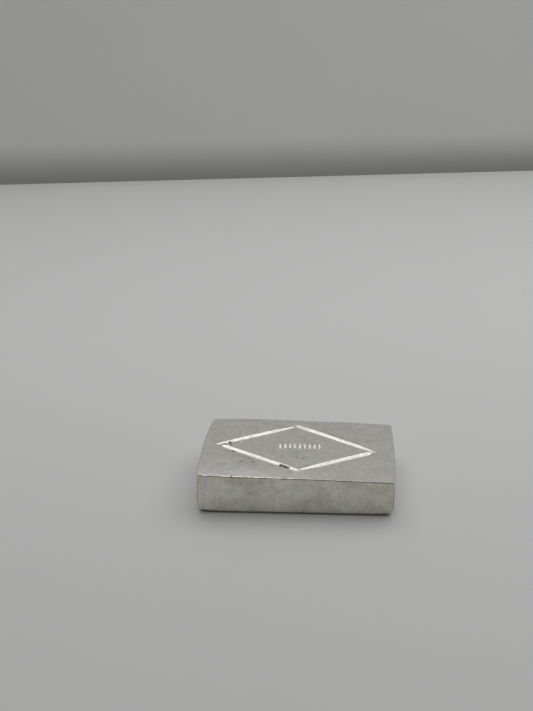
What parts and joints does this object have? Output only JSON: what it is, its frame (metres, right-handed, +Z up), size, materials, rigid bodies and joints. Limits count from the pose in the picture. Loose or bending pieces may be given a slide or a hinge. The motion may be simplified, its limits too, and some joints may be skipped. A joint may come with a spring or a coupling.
{
  "type": "ingot",
  "caption": "Small silver bar with a sharp flat top, slightly bulged ends and a chiselled rhombus framing a row of plain nicks.",
  "frame": {"origin": "on the surface the bar rests on, at the middle of its length and width", "axes": "+X along the bar to its thinner end, +Y across the bar to its back, +Z up out of the top that carries the rhombus"},
  "size_m": [0.0494, 0.0296, 0.0109],
  "materials": {
    "silver": "satin"
  },
  "bodies": {
    "root": {"ingot": "silver"}
  },
  "joints": []
}
